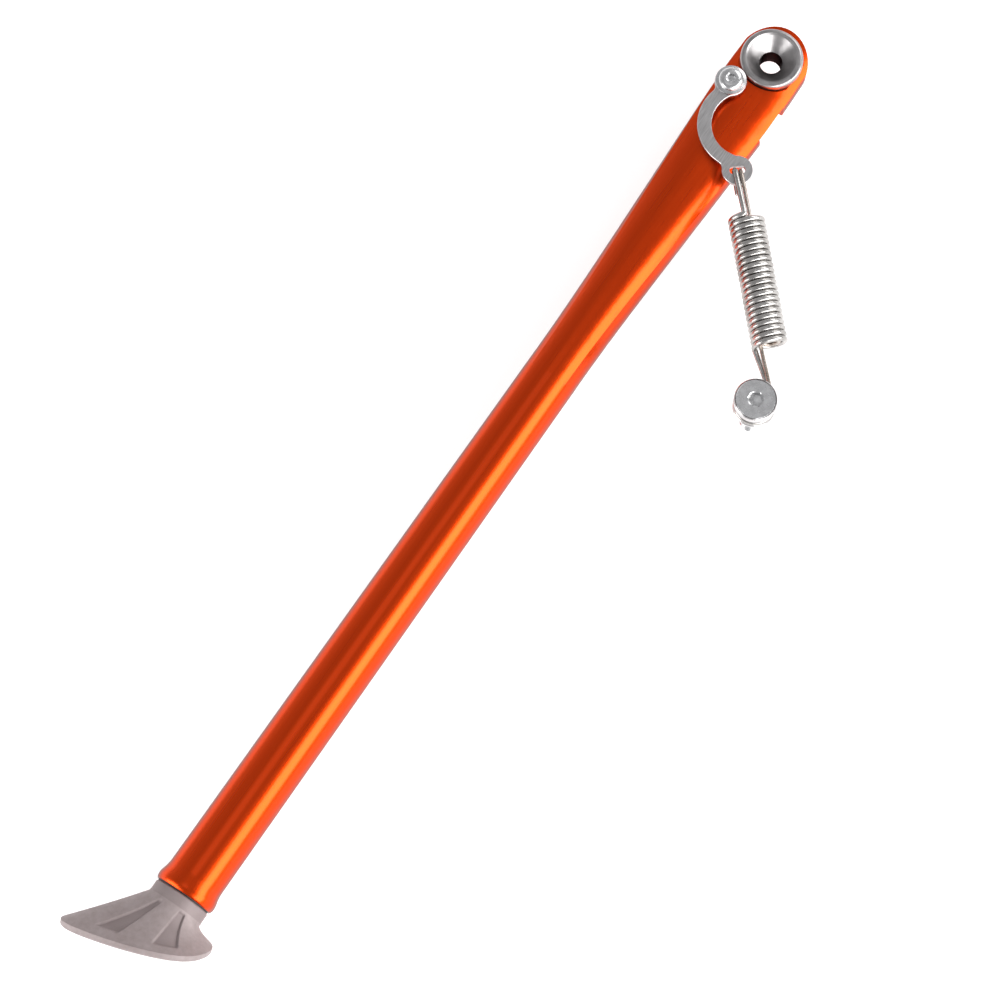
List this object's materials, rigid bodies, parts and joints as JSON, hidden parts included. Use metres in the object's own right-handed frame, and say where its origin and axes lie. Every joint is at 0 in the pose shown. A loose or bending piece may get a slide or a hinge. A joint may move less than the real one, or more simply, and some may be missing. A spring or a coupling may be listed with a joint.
{
  "type": "motorcycle kickstand",
  "caption": "Folding side stand: tubular leg with a forged head on a flanged pivot bush, ribbed tilted foot, and nested return springs on a curved link.",
  "frame": {"origin": "on the pivot axis, at the leg tube's centreline; the pivot bore's axis passes through it", "axes": "+X runs down the leg from pivot to foot, +Z is the pivot axis pointing outboard, +Y completes the right-handed set; the leg is stowed"},
  "size_m": [0.4289, 0.108, 0.0365],
  "materials": {
    "leg_anodised": "orange anodised, satin",
    "bush_steel": "turned stainless steel",
    "seal_rubber": "matt black",
    "zinc_steel": "bright zinc plate",
    "link_steel": "tumbled stainless plate",
    "spring_steel": "drawn spring wire",
    "inner_spring_steel": "drawn spring wire, heat tinted",
    "post_steel": "turned steel",
    "foot_cast": "bead-blasted investment casting"
  },
  "bodies": {
    "frame_side": {"pivot_bush": "bush_steel", "spring_post": "post_steel", "spring_post_screw": "zinc_steel"},
    "leg": {"leg": "leg_anodised", "pivot_seal": "seal_rubber", "link_collar": "zinc_steel", "link_screw": "zinc_steel", "foot": "foot_cast", "foot_seal": "seal_rubber", "foot_screw": "zinc_steel", "foot_washer": "zinc_steel"},
    "link": {"spring_link": "link_steel"},
    "springs": {"outer_spring": "spring_steel", "inner_spring": "inner_spring_steel"}
  },
  "joints": [
    {"name": "leg_swing", "type": "hinge", "parent": "frame_side", "child": "leg", "pos_m": [0, 0, 0], "axis": [0, 0, -1], "range_deg": [0, 110], "stiffness_Nm_per_rad": 0.5, "springref_deg": -171.89},
    {"name": "link_swing", "type": "hinge", "parent": "leg", "child": "link", "pos_m": [0.01676, -0.0076, 0], "axis": [0, 0, 1], "range_deg": [0, 105]},
    {"name": "spring_stretch", "type": "slide", "parent": "link", "child": "springs", "axis": [0.7961, 0.6051, 0], "range_m": [0, 0.028], "deforming": ["outer_spring", "inner_spring"]}
  ],
  "couplings": [
    {"joint": "link_swing", "follows": "leg_swing", "ratio": 0.95418},
    {"joint": "spring_stretch", "follows": "leg_swing", "m_per_rad": 0.014345}
  ]
}
